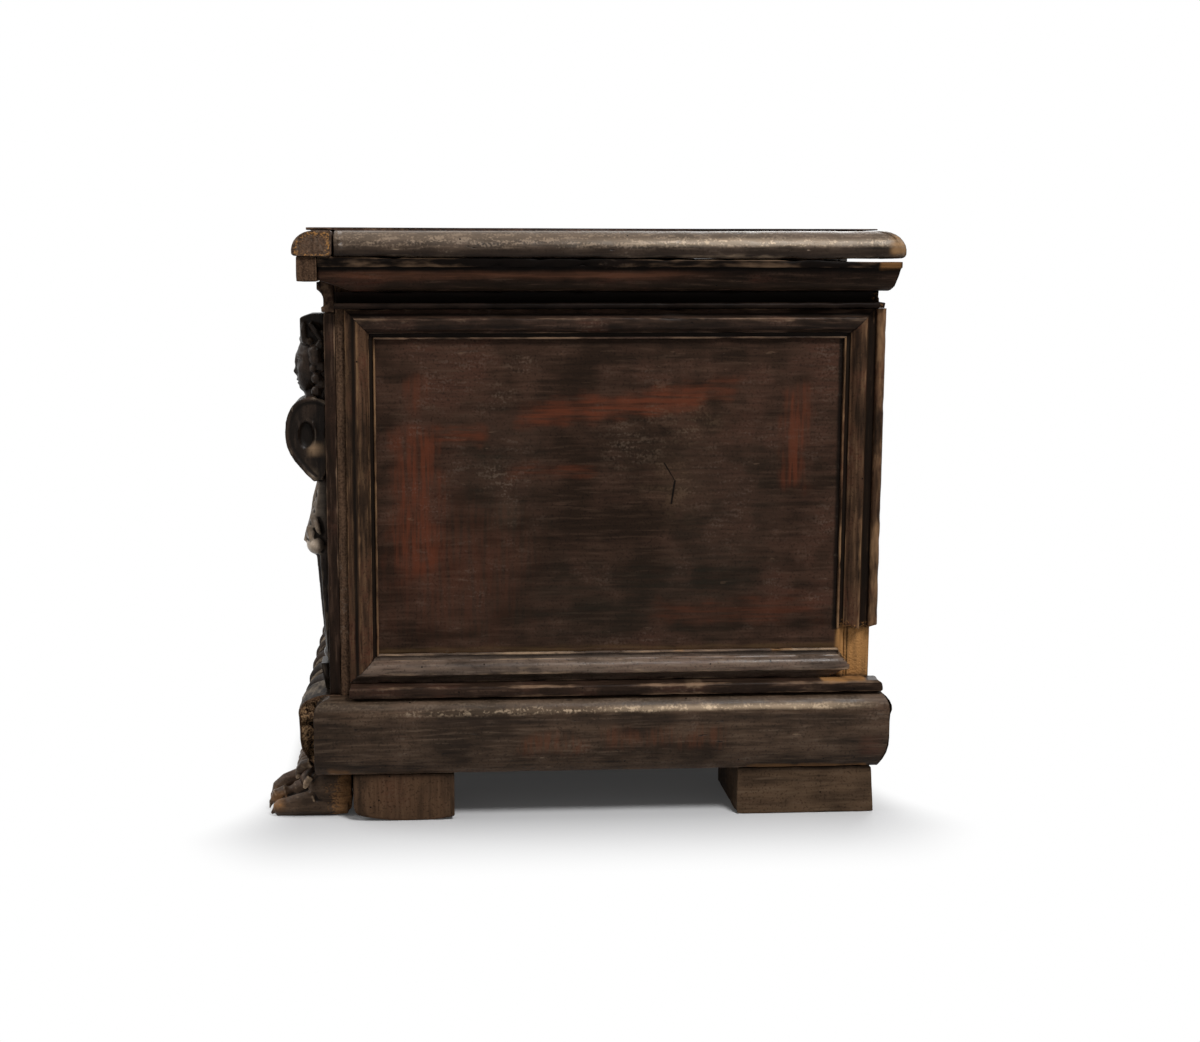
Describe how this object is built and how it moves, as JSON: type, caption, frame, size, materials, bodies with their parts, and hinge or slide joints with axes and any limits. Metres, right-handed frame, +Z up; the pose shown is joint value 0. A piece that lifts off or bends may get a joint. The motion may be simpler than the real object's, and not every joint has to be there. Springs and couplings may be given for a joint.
{
  "type": "cassone",
  "caption": "Long walnut cassone with carved corner herms, moulded panels, a gadrooned base, paw feet and a lid on strap hinges.",
  "frame": {"origin": "on the floor, under the middle of the chest's overall box", "axes": "+X along the length towards the right end, -Y out of the carved front, +Z up"},
  "size_m": [1.65, 0.6246, 0.58],
  "materials": {
    "walnut": "old waxed walnut, nearly black brown with worn reddish edges",
    "carved_walnut": "carved walnut, dark in the hollows and rubbed grey brown on the high parts",
    "rough_walnut": "plain sawn walnut, dull brown, not polished",
    "wrought_iron": "dull black wrought iron with a little rust"
  },
  "bodies": {
    "carcase": {"front_board": "walnut", "back_board": "rough_walnut", "bottom_board": "rough_walnut", "left_end_board": "walnut", "right_end_board": "walnut", "centre_stile": "walnut", "left_corner_pilaster": "walnut", "right_corner_pilaster": "walnut", "left_end_bottom_moulding": "walnut", "left_end_top_moulding": "walnut", "left_end_front_moulding": "walnut", "left_end_back_moulding": "walnut", "right_end_bottom_moulding": "walnut", "right_end_top_moulding": "walnut", "right_end_front_moulding": "walnut", "right_end_back_moulding": "walnut", "left_front_bottom_moulding": "walnut", "left_front_top_moulding": "walnut", "left_front_outer_moulding": "walnut", "left_front_inner_moulding": "walnut", "right_front_bottom_moulding": "walnut", "right_front_top_moulding": "walnut", "right_front_outer_moulding": "walnut", "right_front_inner_moulding": "walnut", "front_bead": "walnut", "left_end_bead": "walnut", "right_end_bead": "walnut", "front_base_moulding": "walnut", "back_base_moulding": "walnut", "left_end_base_moulding": "walnut", "right_end_base_moulding": "walnut", "front_frieze": "walnut", "left_end_frieze": "walnut", "right_end_frieze": "walnut", "front_cornice": "walnut", "back_cornice": "walnut", "left_end_cornice": "walnut", "right_end_cornice": "walnut", "left_herm": "carved_walnut", "right_herm": "carved_walnut", "left_herm_plinth": "carved_walnut", "right_herm_plinth": "carved_walnut", "left_paw_foot": "carved_walnut", "right_paw_foot": "carved_walnut", "left_front_block": "rough_walnut", "right_front_block": "rough_walnut", "left_rear_block": "rough_walnut", "right_rear_block": "rough_walnut", "left_carcase_strap": "wrought_iron", "right_carcase_strap": "wrought_iron", "left_hinge_pin": "wrought_iron", "right_hinge_pin": "wrought_iron"},
    "lid": {"lid_board": "walnut", "lid_front_moulding": "walnut", "lid_back_moulding": "walnut", "left_lid_end_moulding": "walnut", "right_lid_end_moulding": "walnut", "left_lid_strap": "wrought_iron", "right_lid_strap": "wrought_iron"}
  },
  "joints": [
    {"name": "lid_hinge", "type": "hinge", "parent": "carcase", "child": "lid", "pos_m": [0, 0.30835, 0.54835], "axis": [-1, 0, 0], "range_deg": [0, 100]}
  ]
}
